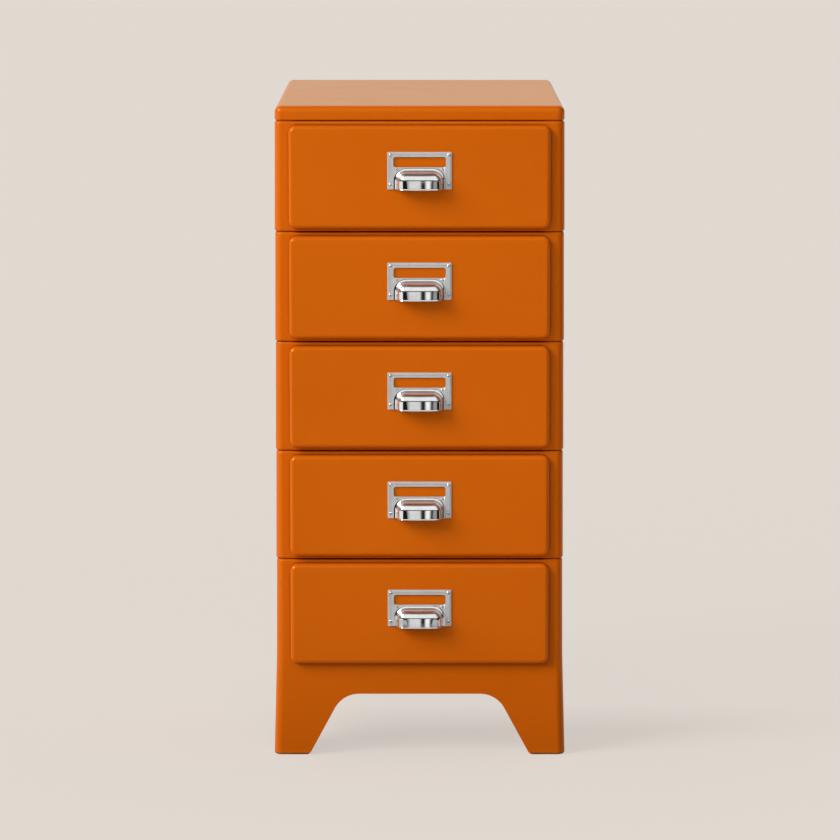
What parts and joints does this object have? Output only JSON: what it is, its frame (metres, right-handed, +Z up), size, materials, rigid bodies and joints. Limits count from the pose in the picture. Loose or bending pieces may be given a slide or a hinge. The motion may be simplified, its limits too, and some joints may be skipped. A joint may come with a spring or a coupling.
{
  "type": "archive cabinet",
  "caption": "Tall painted steel chest of stacked drawer units with a rounded lid, flared legs and bright label-holder cup pulls, for keeping papers flat.",
  "frame": {"origin": "on the floor, at the centre of the overall footprint, pulls included", "axes": "+Z up, -Y the way the drawers face and slide out, +X to the right seen from the front"},
  "size_m": [0.2966, 0.4432, 0.6623],
  "materials": {
    "orange_paint": "gloss orange enamel on sheet steel",
    "bright_pull": "satin plate with a polished hood",
    "zinc_steel": "zinc-plated steel"
  },
  "bodies": {
    "cabinet": {"top_cap": "orange_paint", "cap_bolts": "zinc_steel", "cap_nuts": "zinc_steel", "stack_bolts": "zinc_steel", "stack_nuts": "zinc_steel", "unit_1_case": "orange_paint", "unit_1_floor": "orange_paint", "unit_1_runner_left": "zinc_steel", "unit_1_runner_right": "zinc_steel", "unit_2_case": "orange_paint", "unit_2_floor": "orange_paint", "unit_2_runner_left": "zinc_steel", "unit_2_runner_right": "zinc_steel", "unit_3_case": "orange_paint", "unit_3_floor": "orange_paint", "unit_3_runner_left": "zinc_steel", "unit_3_runner_right": "zinc_steel", "unit_4_case": "orange_paint", "unit_4_floor": "orange_paint", "unit_4_runner_left": "zinc_steel", "unit_4_runner_right": "zinc_steel", "base_case": "orange_paint", "base_floor": "orange_paint", "base_runner_left": "zinc_steel", "base_runner_right": "zinc_steel"},
    "drawer_1": {"drawer_1_front": "orange_paint", "drawer_1_tray": "orange_paint", "drawer_1_pull": "bright_pull", "drawer_1_rivets": "bright_pull"},
    "drawer_2": {"drawer_2_front": "orange_paint", "drawer_2_tray": "orange_paint", "drawer_2_pull": "bright_pull", "drawer_2_rivets": "bright_pull"},
    "drawer_3": {"drawer_3_front": "orange_paint", "drawer_3_tray": "orange_paint", "drawer_3_pull": "bright_pull", "drawer_3_rivets": "bright_pull"},
    "drawer_4": {"drawer_4_front": "orange_paint", "drawer_4_tray": "orange_paint", "drawer_4_pull": "bright_pull", "drawer_4_rivets": "bright_pull"},
    "drawer_5": {"drawer_5_front": "orange_paint", "drawer_5_tray": "orange_paint", "drawer_5_pull": "bright_pull", "drawer_5_rivets": "bright_pull"}
  },
  "joints": [
    {"name": "drawer_1_slide", "type": "slide", "parent": "cabinet", "child": "drawer_1", "axis": [0, -1, 0], "range_m": [0, 0.3]},
    {"name": "drawer_2_slide", "type": "slide", "parent": "cabinet", "child": "drawer_2", "axis": [0, -1, 0], "range_m": [0, 0.3]},
    {"name": "drawer_3_slide", "type": "slide", "parent": "cabinet", "child": "drawer_3", "axis": [0, -1, 0], "range_m": [0, 0.3]},
    {"name": "drawer_4_slide", "type": "slide", "parent": "cabinet", "child": "drawer_4", "axis": [0, -1, 0], "range_m": [0, 0.3]},
    {"name": "drawer_5_slide", "type": "slide", "parent": "cabinet", "child": "drawer_5", "axis": [0, -1, 0], "range_m": [0, 0.3]}
  ]
}
